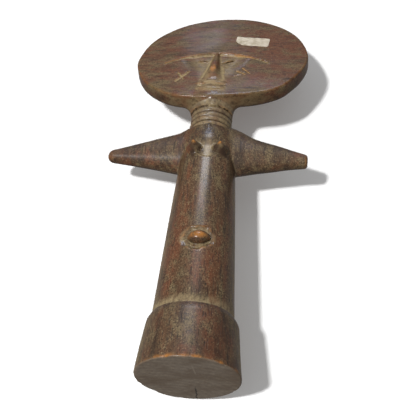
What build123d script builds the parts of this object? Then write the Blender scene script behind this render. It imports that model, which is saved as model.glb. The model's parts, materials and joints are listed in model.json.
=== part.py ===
"""Standing fertility doll, carved from a single block of hardwood.

A flat, round, backward-leaning head sits on a ringed neck. Two short tapered arms stand straight
out from a slim round torso, and the torso rises from a wider drum-shaped foot. A small paper
label is glued to the forehead. Every carved member is a piece of its own. The members of the
block meet face to face, because the real doll has no joints, pegs or fasteners between them.

Millimetres. +Z is up, the origin is the centre of the foot's flat underside, the face looks
towards -Y, and +X is the doll's own left.
"""
import os
from math import cos, radians, sin

from build123d import *

os.makedirs("parts", exist_ok=True)

# ---------------------------------------------------------------- foot
foot_radius = 31.5            # at the underside
foot_waist_radius = 28.0      # where the rounded top of the drum begins
foot_height = 37.5
foot_round = 8.5              # height of the rounded top of the drum
foot_edge = 1.2               # worn edge around the underside
foot_ledge = 0.8              # step left standing around the torso

# ---------------------------------------------------------------- torso
torso_low_radius = 25.3       # where it rises from the foot
torso_high_radius = 19.0      # at the chest
chest_height = 158.0          # above the underside, where the torso starts to close to the neck
collar_height = 179.4         # above the underside, where the neck starts

# ---------------------------------------------------------------- neck
neck_radius = 15.0            # over the rings
ring_count = 5
ring_pitch = 4.7
ring_depth = 1.3              # depth of the grooves between rings
nape_rise = 42.0              # taper that runs up behind the head from the top ring
nape_tip_radius = 4.0

# ---------------------------------------------------------------- head
head_half_width = 63.5
head_half_height = 58.5
head_chin = 51.0              # from the head's centre down to its flat lower edge
head_thickness = 15.0
head_front_round = 2.5
head_back_round = 8.0
chin_round = 25.0             # rounding of the outline beside the flat lower edge
head_height = 253.4           # centre of the face, above the underside
head_forward = 7.0            # centre of the face, in front of the neck's axis
head_offset = 4.5             # the disc sits a little to the doll's left
head_lean = 14.0              # degrees, backwards
head_turn = 5.0               # degrees, towards the doll's right

# ---------------------------------------------------------------- arms
arm_reach = 68.5              # from the neck's axis to an arm's tip
arm_root_reach = 8.0          # where the arm starts, inside the torso
arm_root_depth = 12.5         # half its size at the root, front to back
arm_root_rise = 20.0          # half its size at the root, up and down
arm_tip_depth = 4.4
arm_tip_rise = 4.6
arm_tip_round = 3.4
arm_root_height = 164.8       # above the underside
arm_tip_height = 161.2
arm_turn = 2.5                # degrees, both arms together, towards the doll's right

# ---------------------------------------------------------------- breasts and navel
breast_height = 156.5         # above the underside
breast_spacing = 16.5         # tip to tip
breast_root_radius = 6.0
breast_tip_radius = 1.3
breast_reach = 6.0            # how far a tip stands out from the chest
navel_height = 82.0           # above the underside
navel_length = 14.5
navel_radius = 4.4
navel_sink = 0.8              # how far its axis lies under the torso's surface

# ---------------------------------------------------------------- face
brow_span = 77.0
brow_rise = 14.0              # from its ends up to the bridge of the nose
brow_top = 4.2                # above the head's centre
brow_width = 2.6
brow_relief = 1.2
nose_top_width = 4.4
nose_base_width = 11.0
nose_top = 4.0                # above the head's centre
nose_base = 26.0              # below the head's centre
nose_relief = 5.0
nose_ridge_width = 1.6
nostril_slope = 3.5           # how far the lower face of the nose leans back
eye_spacing = 16.4
eye_drop = 6.5                # below the head's centre
eye_length = 8.4
eye_radius = 1.7
lip_length = 22.0
lip_radius = 2.6
upper_lip_drop = 36.4         # below the head's centre
lip_spacing = 4.0

# ---------------------------------------------------------------- label
label_width = 25.5
label_height = 12.5
label_thickness = 0.25
label_corner = 1.0
label_across = 21.0           # from the head's centre towards the doll's left
label_up = 21.0               # above the head's centre
label_tilt = -6.0             # degrees, in the plane of the face

# ---------------------------------------------------------------- worked out from the sizes above
neck_top = collar_height + ring_count * ring_pitch
groove_radius = neck_radius - ring_depth
lean, turn = radians(head_lean), radians(head_turn)

# Plane of the face: origin at the head's centre, x towards the doll's left, z straight out.
face = Plane(
    origin=(head_offset, -head_forward, head_height),
    x_dir=(cos(turn), -sin(turn), 0),
    z_dir=(-sin(turn) * cos(lean), -cos(turn) * cos(lean), sin(lean)),
)
# Upright plane across both arms, with its origin on the neck's axis.
arms = Plane(origin=(0, 0, 0), x_dir=(cos(radians(arm_turn)), -sin(radians(arm_turn)), 0), z_dir=(0, 0, 1))


def torso_radius(height):
    """Radius of the torso's taper at a height above the underside."""
    share = (height - foot_height) / (chest_height - foot_height)
    return torso_low_radius + (torso_high_radius - torso_low_radius) * share


def on_face(across, up):
    """Face plane moved to a feature: across from the neck's axis, up from the head's centre."""
    return Plane(
        origin=face.from_local_coords((across - head_offset, up, 0)),
        x_dir=face.x_dir,
        z_dir=face.z_dir,
    )


def oval(plane, length, radius):
    """Oval bead whose long side lies along a plane's x direction."""
    bead = Sphere(1, mode=Mode.PRIVATE)
    bead = scale(bead, by=(length / 2, radius, radius), mode=Mode.PRIVATE)
    return plane.location * bead


def arm(side):
    """Tapered arm with a rounded tip, towards the doll's left (side 1) or right (side -1)."""
    across = Vector(arms.x_dir) * side
    start = arms.from_local_coords((side * arm_root_reach, 0, arm_root_height))
    end = arms.from_local_coords((side * arm_reach, 0, arm_tip_height))
    with BuildPart() as solid:
        with BuildSketch(Plane(origin=start, x_dir=(0, 0, 1), z_dir=across)):
            Ellipse(arm_root_rise, arm_root_depth)
        with BuildSketch(Plane(origin=end, x_dir=(0, 0, 1), z_dir=across)):
            Ellipse(arm_tip_rise, arm_tip_depth)
        loft()
        tip = solid.faces().sort_by(Axis(arms.origin, across))[-1]
        fillet(tip.edges(), arm_tip_round)
    return solid.part


def breast(side):
    """Small sharp cone on the chest, on the doll's left (side 1) or right (side -1)."""
    root = torso_radius(breast_height) - breast_root_radius
    tip = torso_radius(breast_height) + breast_reach
    with BuildPart() as solid:
        with BuildSketch(Plane.XY.offset(breast_height)):
            with BuildLine():
                Polyline(
                    (side * breast_spacing / 2, -root),
                    (side * breast_spacing / 2 + breast_root_radius, -root),
                    (side * breast_spacing / 2 + breast_tip_radius, -tip + breast_tip_radius),
                )
                RadiusArc(
                    (side * breast_spacing / 2 + breast_tip_radius, -tip + breast_tip_radius),
                    (side * breast_spacing / 2, -tip),
                    breast_tip_radius,
                )
                Line((side * breast_spacing / 2, -tip), (side * breast_spacing / 2, -root))
            make_face()
        revolve(axis=Axis((side * breast_spacing / 2, 0, breast_height), (0, 1, 0)))
    return solid.part


# ---------------------------------------------------------------- foot: a flared drum with a rounded top
with BuildPart() as foot:
    with BuildSketch(Plane.XZ):
        with BuildLine():
            Polyline(
                (0, foot_height),
                (0, 0),
                (foot_radius - foot_edge, 0),
                (foot_radius, foot_edge),
                (foot_waist_radius, foot_height - foot_round),
            )
            Spline(
                (foot_waist_radius, foot_height - foot_round),
                (torso_low_radius + foot_ledge, foot_height),
                tangents=[(foot_waist_radius - foot_radius, foot_height - foot_round), (-1, 0)],
            )
            Line((torso_low_radius + foot_ledge, foot_height), (0, foot_height))
        make_face()
    revolve(axis=Axis.Z)
foot.part.label = "foot"
export_step(foot.part, "parts/foot.step")

# ---------------------------------------------------------------- torso: a slim taper that closes to the neck
with BuildPart() as torso:
    with BuildSketch(Plane.XZ):
        with BuildLine():
            Polyline(
                (0, collar_height),
                (0, foot_height),
                (torso_low_radius, foot_height),
                (torso_high_radius, chest_height),
            )
            Spline(
                (torso_high_radius, chest_height),
                (neck_radius, collar_height),
                tangents=[
                    (torso_high_radius - torso_low_radius, chest_height - foot_height),
                    (neck_radius - torso_high_radius, torso_high_radius - neck_radius),
                ],
            )
            Line((neck_radius, collar_height), (0, collar_height))
        make_face()
    revolve(axis=Axis.Z)
torso.part.label = "torso"
export_step(torso.part, "parts/torso.step")

# ---------------------------------------------------------------- head: a flat disc that leans back
with BuildPart() as head:
    with BuildSketch(face):
        Ellipse(head_half_width, head_half_height)
        with Locations((0, -head_chin - head_half_height)):
            Rectangle(2 * head_half_width, 2 * head_half_height, mode=Mode.SUBTRACT)
        fillet(vertices().group_by(Axis.Z)[0], chin_round)
    extrude(amount=-head_thickness)
    along_face = Axis(face.origin, face.z_dir)
    fillet(faces().sort_by(along_face)[0].edges(), head_back_round)
    fillet(faces().sort_by(along_face)[-1].edges(), head_front_round)
head.part.label = "head"
export_step(head.part, "parts/head.step")

# ---------------------------------------------------------------- neck: rings, then a taper behind the head
with BuildPart() as neck:
    with BuildSketch(Plane.XZ):
        with BuildLine():
            Line((0, collar_height), (groove_radius, collar_height))
            for ring in range(ring_count):
                low = collar_height + ring * ring_pitch
                ThreePointArc(
                    (groove_radius, low),
                    (neck_radius, low + ring_pitch / 2),
                    (groove_radius, low + ring_pitch),
                )
            Polyline(
                (groove_radius, neck_top),
                (nape_tip_radius, neck_top + nape_rise),
                (0, neck_top + nape_rise),
                (0, collar_height),
            )
        make_face()
    revolve(axis=Axis.Z)
    add(head.part, mode=Mode.SUBTRACT)
neck.part.label = "neck"
export_step(neck.part, "parts/neck.step")

# ---------------------------------------------------------------- arms: short tapers straight out from the shoulders
with BuildPart() as arm_left:
    add(arm(1))
    add(torso.part, mode=Mode.SUBTRACT)
    add(neck.part, mode=Mode.SUBTRACT)
arm_left.part.label = "arm_left"
export_step(arm_left.part, "parts/arm_left.step")

with BuildPart() as arm_right:
    add(arm(-1))
    add(torso.part, mode=Mode.SUBTRACT)
    add(neck.part, mode=Mode.SUBTRACT)
arm_right.part.label = "arm_right"
export_step(arm_right.part, "parts/arm_right.step")

# ---------------------------------------------------------------- breasts: two small cones high on the chest
with BuildPart() as breast_left:
    add(breast(1))
    add(torso.part, mode=Mode.SUBTRACT)
breast_left.part.label = "breast_left"
export_step(breast_left.part, "parts/breast_left.step")

with BuildPart() as breast_right:
    add(breast(-1))
    add(torso.part, mode=Mode.SUBTRACT)
breast_right.part.label = "breast_right"
export_step(breast_right.part, "parts/breast_right.step")

# ---------------------------------------------------------------- navel: a lying oval on the belly
with BuildPart() as navel:
    navel_plane = Plane(
        origin=(0, navel_sink - torso_radius(navel_height), navel_height),
        x_dir=(1, 0, 0),
        z_dir=(0, -1, 0),
    )
    add(oval(navel_plane, navel_length, navel_radius))
    add(torso.part, mode=Mode.SUBTRACT)
navel.part.label = "navel"
export_step(navel.part, "parts/navel.step")

# ---------------------------------------------------------------- brow and nose: one raised T on the face
with BuildPart() as brow_and_nose:
    with BuildSketch(on_face(0, 0)):
        with BuildLine():
            brow = ThreePointArc(
                (-brow_span / 2, brow_top - brow_rise),
                (0, brow_top),
                (brow_span / 2, brow_top - brow_rise),
            )
            offset(brow, amount=brow_width / 2, side=Side.BOTH, closed=True)
        make_face()
    extrude(amount=brow_relief)
    with BuildSketch(on_face(0, 0)):
        Polygon(
            (-nose_top_width / 2, nose_top),
            (-nose_base_width / 2, -nose_base),
            (nose_base_width / 2, -nose_base),
            (nose_top_width / 2, nose_top),
            align=None,
        )
    with BuildSketch(on_face(0, 0).offset(nose_relief)):
        Polygon(
            (-nose_ridge_width / 2, -nose_base / 2),
            (-nose_ridge_width, nostril_slope - nose_base),
            (nose_ridge_width, nostril_slope - nose_base),
            (nose_ridge_width / 2, -nose_base / 2),
            align=None,
        )
    loft(ruled=True)
brow_and_nose.part.label = "brow_and_nose"
export_step(brow_and_nose.part, "parts/brow_and_nose.step")

# ---------------------------------------------------------------- eyes: two narrow ovals under the brow
with BuildPart() as eye_left:
    add(oval(on_face(eye_spacing / 2, -eye_drop), eye_length, eye_radius))
    add(head.part, mode=Mode.SUBTRACT)
eye_left.part.label = "eye_left"
export_step(eye_left.part, "parts/eye_left.step")

with BuildPart() as eye_right:
    add(oval(on_face(-eye_spacing / 2, -eye_drop), eye_length, eye_radius))
    add(head.part, mode=Mode.SUBTRACT)
eye_right.part.label = "eye_right"
export_step(eye_right.part, "parts/eye_right.step")

# ---------------------------------------------------------------- lips: two ovals, one over the other
with BuildPart() as lips:
    add(oval(on_face(0, -upper_lip_drop), lip_length, lip_radius))
    add(oval(on_face(0, -upper_lip_drop - lip_spacing), lip_length, lip_radius))
    add(head.part, mode=Mode.SUBTRACT)
lips.part.label = "lips"
export_step(lips.part, "parts/lips.step")

# ---------------------------------------------------------------- label: thin paper, glued flat
with BuildPart() as label:
    with BuildSketch(face):
        with Locations(Location((label_across, label_up), label_tilt)):
            RectangleRounded(label_width, label_height, label_corner)
    extrude(amount=label_thickness)
label.part.label = "label"
export_step(label.part, "parts/label.step")
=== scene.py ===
# %% [markdown]
# # A disc-headed wooden doll, carved from one block
#
# The doll is cut from a single piece of wood, so this lesson works like a carver does. It describes
# solid blocks with soft hollows and ridges: one for the torso and arms, one for the head and neck and
# one for the foot. It pulls a skin of small faces over each block, and only then parts the skin into
# pieces along the creases where the knife turned. Two small things are made apart: the rings of the
# neck, which repeat, and the paper label.
#
# Everything is set out in millimetres in the helpers and turned into metres when a mesh is made.

# %% Load the measured model
import json
import math

import bmesh
import bpy
import numpy as np
from mathutils import Matrix

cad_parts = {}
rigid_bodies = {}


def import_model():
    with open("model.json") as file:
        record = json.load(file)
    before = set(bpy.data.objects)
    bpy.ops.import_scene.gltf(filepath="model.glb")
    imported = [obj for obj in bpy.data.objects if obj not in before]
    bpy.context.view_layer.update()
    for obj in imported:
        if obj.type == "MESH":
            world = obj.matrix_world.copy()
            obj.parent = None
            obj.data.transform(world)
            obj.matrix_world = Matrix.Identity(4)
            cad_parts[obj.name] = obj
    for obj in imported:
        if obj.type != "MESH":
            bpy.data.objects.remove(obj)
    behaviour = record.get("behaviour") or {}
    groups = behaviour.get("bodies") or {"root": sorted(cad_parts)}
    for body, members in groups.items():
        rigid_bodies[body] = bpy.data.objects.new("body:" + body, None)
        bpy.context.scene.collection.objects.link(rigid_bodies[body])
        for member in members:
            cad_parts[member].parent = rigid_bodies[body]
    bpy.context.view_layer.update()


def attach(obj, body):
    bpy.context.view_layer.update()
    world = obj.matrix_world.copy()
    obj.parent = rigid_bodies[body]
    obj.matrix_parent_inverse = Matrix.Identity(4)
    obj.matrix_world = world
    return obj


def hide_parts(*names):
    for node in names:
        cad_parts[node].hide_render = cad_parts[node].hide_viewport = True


for leftover in list(bpy.data.objects):
    bpy.data.objects.remove(leftover)
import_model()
MM = 0.001

# %% [markdown]
# ## Soft carving with distances
# A distance field gives, for any point, how far it lies outside (+) or inside (-) a shape. Two shapes
# are joined by keeping the smaller distance. Blending the two near their meeting line rounds the
# crease just as a rasp does, and that is hard to get by modelling each part alone.

# %% Blends and simple shapes
def held(x):
    """Kept between 0 and 1."""
    return np.clip(x, 0, 1)


def soft_min(a, b, k):
    """Join of two shapes with a fillet about k millimetres wide."""
    h = held(0.5 + 0.5 * (b - a) / k)
    return b + (a - b) * h - k * h * (1 - h)


def soft_max(a, b, k):
    """Overlap of two shapes, or a cut, with a rounded edge."""
    return -soft_min(-a, -b, k)


def ramp(x, low, high):
    """0 below low, 1 above high, smooth between. Works downwards too."""
    t = held((x - low) / (high - low))
    return t * t * (3 - 2 * t)


def oval(x, y, z, a, b, c):
    """Distance to an ellipsoid with half sizes a, b, c."""
    k0 = np.sqrt((x / a) ** 2 + (y / b) ** 2 + (z / c) ** 2) + 1e-6
    k1 = np.sqrt((x / a**2) ** 2 + (y / b**2) ** 2 + (z / c**2) ** 2) + 1e-6
    return k0 * (k0 - 1) / k1


def in_ovals(u, v, middle, half):
    """How many times the half sizes a place lies from the middle of a flat oval."""
    return np.sqrt(((u - middle[0]) / half[0]) ** 2 + ((v - middle[1]) / half[1]) ** 2)


def waver(x, y, z, size, seed):
    """Slow unevenness of handwork, about -1 to 1, with bumps of the given size."""
    rng = np.random.default_rng(seed)
    total = 0
    for _ in range(5):
        d = rng.normal(size=3)
        d = d / np.linalg.norm(d) * (2 * math.pi / size) * rng.uniform(0.7, 1.5)
        total = total + np.sin(x * d[0] + y * d[1] + z * d[2] + rng.uniform(0, 6.3))
    return total / 3


def stroke(x, y, a, b):
    """Distance in a plane to the line from a to b."""
    dx, dy = b[0] - a[0], b[1] - a[1]
    h = held(((x - a[0]) * dx + (y - a[1]) * dy) / (dx * dx + dy * dy))
    return np.sqrt((x - a[0] - h * dx) ** 2 + (y - a[1] - h * dy) ** 2)


# %% [markdown]
# ## Pulling a skin over the block
# The block is sampled on a grid. Wherever the distance changes sign between two neighbours, the skin
# passes between them. Each grid cell that the skin crosses gets one point, and each crossed grid line
# gets one four-sided face. The points are then slid along the slope of the field until they lie on
# the surface, which takes the stair-steps out.

# %% The skin puller
CORNERS = np.array([(i, j, k) for i in (0, 1) for j in (0, 1) for k in (0, 1)])
EDGES = [(a, b) for a in range(8) for b in range(a + 1, 8) if abs(CORNERS[a] - CORNERS[b]).sum() == 1]
SLAB = 16  # layers of the grid that are measured at a time, which saves memory
FLATTEST = 0.05  # a slope is taken as at least this steep, so that no point is thrown far


def slope(field, p, h=0.05):
    """Direction in which the distance grows fastest."""
    g = np.empty_like(p)
    for axis in range(3):
        step = np.zeros(3)
        step[axis] = h
        g[:, axis] = (field(*(p + step).T) - field(*(p - step).T)) / (2 * h)
    return g


def pull_skin(field, low, high, step):
    """Points, four-sided faces and outward normals of the surface where the field is zero."""
    axes = [np.arange(a, b + step, step) for a, b in zip(low, high)]
    second, third = axes[1][None, :, None], axes[2][None, None, :]
    slabs = [
        field(axes[0][i : i + SLAB, None, None], second, third).astype(np.float32)
        for i in range(0, len(axes[0]), SLAB)
    ]
    value = np.concatenate(slabs)
    inside = value < 0
    n = [s - 1 for s in value.shape]
    count = sum(inside[i : i + n[0], j : j + n[1], k : k + n[2]].astype(np.int8) for i, j, k in CORNERS)
    cell = np.argwhere((count > 0) & (count < 8))
    index = np.full(n, -1, np.int32)
    index[tuple(cell.T)] = np.arange(len(cell))
    at = [value[tuple((cell + c).T)].astype(float) for c in CORNERS]
    total, hits = np.zeros((len(cell), 3)), np.zeros(len(cell))
    for a, b in EDGES:
        crossed = (at[a] < 0) != (at[b] < 0)
        t = np.where(crossed, at[a] / np.where(crossed, at[a] - at[b], 1), 0)
        total += np.where(crossed[:, None], CORNERS[a] + t[:, None] * (CORNERS[b] - CORNERS[a]), 0)
        hits += crossed
    points = np.array(low) + (cell + total / hits[:, None]) * step
    for _ in range(3):
        g = slope(field, points)
        move = (field(*points.T) / np.maximum((g * g).sum(1), FLATTEST))[:, None] * g
        points -= np.clip(move, -0.5 * step, 0.5 * step)
    faces = []
    for axis in range(3):
        order = (axis, (axis + 1) % 3, (axis + 2) % 3)
        s, c = inside.transpose(order), index.transpose(order)
        i, j, k = np.nonzero(s[:-1, 1:-1, 1:-1] != s[1:, 1:-1, 1:-1])
        quad = np.stack([c[i, j, k], c[i, j + 1, k], c[i, j + 1, k + 1], c[i, j, k + 1]], 1)
        back = s[i + 1, j + 1, k + 1]
        quad[back] = quad[back][:, ::-1]
        faces.append(quad)
    g = slope(field, points, 0.2)
    return points, np.concatenate(faces), g / np.maximum(np.linalg.norm(g, axis=1), 1e-6)[:, None]


def roundness(field, p, h):
    """Positive on ridges and edges, negative in creases, looked at over h millimetres."""
    total = -6 * field(*p.T)
    for axis in range(3):
        step = np.zeros(3)
        step[axis] = h
        total = total + field(*(p + step).T) + field(*(p - step).T)
    return total / h


# %% [markdown]
# ## From skin to pieces
# A piece of the skin that is cut off along a crease is open there, so each opening is closed with a
# hidden face. The smooth normals of the whole block are kept on every piece, and that is why the
# light runs over the joins as it does on one block of wood. Four numbers ride along with each point:
# *dust and sheen*, pale dirt in creases together with a painted sheen down the sides and painted light
# on the crests of the neck rings, *wear and highlight*, bare wood on edges and tips together with
# painted highlights on the breast tips, the navel's top and the chin's edge, *grime and shade*, dark
# dirt in the deepest cuts together with painted shade round the breasts, under the arms, on the
# navel's sides, down the head's rim and in the grooves of the neck rings, and *tone*, which makes the
# wood rustier where it is high and greyer where it is low.

# %% The piece maker
def set_in_scene(name, data):
    """Object for a mesh, a lamp or a camera, linked to the scene."""
    made = bpy.data.objects.new(name, data)
    bpy.context.scene.collection.objects.link(made)
    return made


def make_piece(name, points, faces, normals, marks, replaces):
    """Closed mesh piece in metres with its marks stored on the points."""
    used, faces = np.unique(faces, return_inverse=True)
    faces = faces.reshape(-1, 4)
    mesh = bpy.data.meshes.new(name)
    mesh.from_pydata((points[used] * MM).tolist(), [], faces.tolist())
    bm = bmesh.new()
    bm.from_mesh(mesh)
    rim = [e for e in bm.edges if e.is_boundary]
    if rim:
        lids = bmesh.ops.holes_fill(bm, edges=rim, sides=0)["faces"]
        bmesh.ops.triangulate(bm, faces=lids)
    bm.to_mesh(mesh)
    bm.free()
    mesh.polygons.foreach_set("use_smooth", [True] * len(mesh.polygons))
    mesh.normals_split_custom_set_from_vertices(normals[used].tolist())
    for mark, values in marks.items():
        mesh.attributes.new(mark, "FLOAT", "POINT").data.foreach_set("value", values[used].astype(np.float32))
    piece = set_in_scene(name, mesh)
    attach(piece, "root")
    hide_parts(*replaces)
    print(name, "points", len(mesh.vertices), "faces", len(mesh.polygons))
    return piece


# %% [markdown]
# ## The torso and arms
# The torso is a slim, slightly uneven taper. The arms are flattened tapers that leave it with a crisp
# crease below and run softly into the neck above. High on the chest a shallow scoop ends in a small
# step, and the two breasts are cut as little beaks in it. The navel is an almond left standing in its
# own carved hollow.

# %% Torso sizes and field
FOOT_TOP, CHEST, COLLAR, COLLAR_CUT = 37.5, 158.0, 179.4, 180.4
TORSO_LOW, TORSO_HIGH = 25.3, 19.0
ARM_TURN = math.radians(2.5)
ARM_START, ARM_END, ARM_RISE, ARM_DEPTH = 8.0, 68.5, 20, 12.5
BREAST_OUT = 8.3
HOLLOW_AT, NAVEL_HEIGHT = (-1.0, 82.9), 83.2


def torso_radius(z):
    t = np.clip((z - CHEST) / (COLLAR - CHEST), 0, 1.2)
    return TORSO_LOW + (TORSO_HIGH - TORSO_LOW) * (z - FOOT_TOP) / (CHEST - FOOT_TOP) - 2.9 * t**3


def torso_side(x, y, z):
    """Distance to the torso's uneven side, as if it had no ends."""
    return np.sqrt(x * x + y * y) - torso_radius(z) - 0.22 * waver(x, y, z * 0.35, 34, 3)


def chest_step(x):
    """Height of the small step under the breasts."""
    return 148.4 + 0.075 * x * x


def column(x, y, z):
    d = torso_side(x, y, z)
    around = np.arctan2(x, -y) * 22
    # scoop on the chest: sharp step below, fading out above and to the sides
    edge = chest_step(x)
    scoop = ramp(z, edge - 0.3, edge + 0.9) * ramp(z, 169, 158) * ramp(np.abs(around), 15, 10)
    toward = np.arctan2(z - HOLLOW_AT[1], around - HOLLOW_AT[0])
    ragged = 1 + 0.07 * np.sin(2 * toward + 2.6) + 0.06 * np.sin(5 * toward) + 0.03 * np.sin(11 * toward + 1)
    hollow = ramp(ragged * in_ovals(around, z, HOLLOW_AT, (10.6, 8.4)), 1.06, 0.74)
    front = y < 0
    d = d + front * (1.1 * scoop + 1.5 * hollow)
    return np.maximum(np.maximum(d, FOOT_TOP - 0.7 - z), z - COLLAR_CUT)


def arm(x, y, z, side, tip_rise, tip_depth, tip_round):
    """A flattened taper out to one side: side is 1 on the doll's left and -1 on its right."""
    c, s = math.cos(ARM_TURN), math.sin(ARM_TURN)
    out, deep = side * (x * c - y * s), x * s + y * c
    end = ARM_END + 0.7 * (1 - side)
    u = np.clip((out - ARM_START) / (end - ARM_START), -0.2, 1.1)
    up = z - (164.8 - (4.3 - 0.7 * side) * u) - 0.4 * waver(x, 0, 0, 60, 8 + side)
    rise = ARM_RISE + (tip_rise - ARM_RISE) * u
    depth = ARM_DEPTH + (tip_depth - ARM_DEPTH) * u
    # one shoulder is left fuller on top
    rise = rise - (1.1 - 0.2 * side) * ramp(up, 3, -8)
    rise = rise + (1 + side) * 2.3 * np.exp(-(((u - 0.16) / 0.17) ** 2)) * ramp(up, 0, 10)
    d = oval(deep, up, 0, depth, rise, 1.0) - 0.18 * waver(x, y, z, 22, 12 + side)
    return soft_max(np.maximum(d, 4 - out), out - end, tip_round)


def breast(x, y, z, side):
    n = np.array([0.10 * side, -1.0, 0.05])
    n = n / np.linalg.norm(n)
    px, py, pz = x - side * BREAST_OUT + 0.6, y + 15.5, z - 157.4
    h = px * n[0] + py * n[1] + pz * n[2]
    r = np.sqrt(np.maximum(px * px + py * py + pz * pz - h * h, 0) + 0.4)
    # the underside is cut flatter than the top
    r = r + 0.25 * np.maximum(pz, 0)
    return np.maximum((r - 6.3 + h * 0.63) * 0.82, -h)


def navel(x, y, z):
    around = np.arctan2(x, -y) * 23.5
    out = np.sqrt(x * x + y * y) - (torso_radius(z) - 1.0)
    r = np.sqrt(out * out * 0.9 + (z - NAVEL_HEIGHT - 0.05 * around) ** 2)
    d = (r - 4.5 * held(1 - (around / 7.9) ** 2) ** 0.8) * 0.75
    return np.where(y < 0, d, 20.0)


TORSO_NODES = ["torso", "arm_left", "arm_right", "breast_left", "breast_right", "navel"]


def torso_members(x, y, z):
    return [
        column(x, y, z),
        arm(x, y, z, 1, 4.9, 4.6, 2.2),
        arm(x, y, z, -1, 4.3, 4.1, 4.5),
        breast(x, y, z, 1),
        breast(x, y, z, -1),
        navel(x, y, z),
    ]


def torso_block(x, y, z):
    body, left, right, breast_l, breast_r, button = torso_members(x, y, z)
    k = 1.1 + 1.4 * ramp(z, 158, 168) + 6 * ramp(z, 168, 181)
    body = soft_min(soft_min(body, left, k), right, k)
    body = soft_min(soft_min(body, breast_l, 1.0), breast_r, 1.0)
    body = soft_min(body, button, 0.5)
    return np.maximum(body, np.where(np.sqrt(x * x + y * y) < 15.5, z - COLLAR_CUT, -1.0))


# %% Marks and parting
def part_skin(points, faces, normals, marks, members, names):
    """One piece for each member, cut where two members are equally near."""
    centre = points[faces].mean(1)
    owner = np.argmin(np.stack([m + np.zeros(len(centre)) for m in members(*centre.T)]), axis=0)
    made = {}
    for number, name in enumerate(names):
        chosen = faces[owner == number]
        if len(chosen):
            made[name] = make_piece("carved_" + name, points, chosen, normals, marks, [name])
    return made


def side_dust_and_sheen(x, y):
    """Dust down the sides where hands polish the front, with a painted sheen there too: 0 in front, 1 at the
    sides, less behind.
    """
    turned = np.abs(np.arctan2(x, -y))
    return ramp(turned, 0.85, 1.45) * (0.3 + 0.7 * ramp(turned, 2.5, 1.8))


def patchy(x, y, z):
    """Dust never lies evenly."""
    return 0.6 + 0.4 * waver(x, y, z, 9, 31)


def carving_marks(field, points):
    """Dust gathers in creases, hands wear the ridges."""
    fine, wide = roundness(field, points, 0.9), roundness(field, points, 2.6)
    dust_and_sheen = held(-0.9 * fine - 0.15) * 0.7 + held(-0.55 * wide - 0.15) * 0.6
    wear_and_highlight = held(0.9 * fine - 0.28)
    grime_and_shade = held(-1.1 * fine - 0.55)
    return {"dust_and_sheen": held(dust_and_sheen), "wear_and_highlight": wear_and_highlight, "grime_and_shade": grime_and_shade, "tone": np.zeros(len(points))}


def patches(u, v, spots):
    """Sum of soft spots. A row holds place and place, half size and half size, strength."""
    return sum(k * np.exp(-(((u - u0) / wu) ** 2) - ((v - v0) / wv) ** 2) for u0, v0, wu, wv, k in spots)


# %% Where the torso and arms are marked
# the torso's grime and tone are placed in degrees from the front and height, the rest in x and height
BREAST_SHADOWS = [
    (-4.6, 154.2, 2.4, 3.2, 1.3), (-9.8, 151.8, 1.8, 2.2, 1.1),
    (4.6, 154.6, 1.9, 3.2, 1.2), (11.4, 153.0, 3.2, 2.0, 1.1),
]
TORSO_GRIME = [
    (52, 118, 9, 40, 1.0), (-58, 128, 6, 20, 0.6), (-50, 92, 14, 26, 0.7), (-20, 56, 10, 14, 0.5),
]
ARM_GRIME = [(40, 172, 9, 3.5, 1.0), (50, 166, 8, 3, 0.8), (26, 176, 6, 3, 0.6), (-26, 170, 8, 3, 0.5)]
TORSO_TONE = [
    (-28, 120, 13, 26, 0.45), (-48, 70, 10, 30, 0.6), (32, 78, 9, 40, 0.8), (12, 60, 14, 20, 0.4),
    (48, 118, 14, 36, 0.4), (-10, 62, 10, 16, 0.5), (2, 120, 9, 30, -0.5), (0, 172, 40, 8, -0.5),
    (0, 154, 14, 6, -1.0), (0, 46, 60, 5, -0.6),
]
ARM_TONE = [
    (-64, 160, 8, 6, 0.9), (-40, 157, 16, 3, 0.5), (-42, 170, 20, 5, -0.5), (62, 165, 6, 6, 0.9),
    (30, 158, 10, 5, 0.3), (36, 168, 16, 6, -0.6),
]

# %% Pull the torso skin, mark it and part it
step = 0.7
points, faces, normals = pull_skin(torso_block, (-71, -30, 35), (71, 28, 184), step)
marks = carving_marks(torso_block, points)
x, y, z = points.T
turn, around = np.degrees(np.arctan2(x, -y)), np.arctan2(x, -y) * 20
front, slim = y < 0, np.abs(x) < torso_radius(z) + 1
broken, rough_edge = patchy(x, y, z), 0.75 + 0.35 * waver(x, y, z, 3.5, 37)
tip, cone = 0, 0
for side in (-1, 1):
    from_tip = np.sqrt((x - side * BREAST_OUT + 1.0) ** 2 + (y + 25) ** 2 + (z - 158.3) ** 2)
    from_axis = np.sqrt((x - side * 8.9 + 0.6) ** 2 + (z - 156.4) ** 2)
    tip, cone = tip + ramp(from_tip, 3.7, 1.0), cone + ramp(from_axis, 5.0, 2.4)
tip, cone = tip * rough_edge, cone * rough_edge * front
button = ramp(in_ovals(around, z, (-0.5, NAVEL_HEIGHT), (6.4, 4.0)), 1.15, 0.9) * (y < -21)
button_top = ramp(in_ovals(around, z, (-0.5, 83.4), (5.2, 2.8)), 1.2, 0.4) * (y < -21.5)

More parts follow.
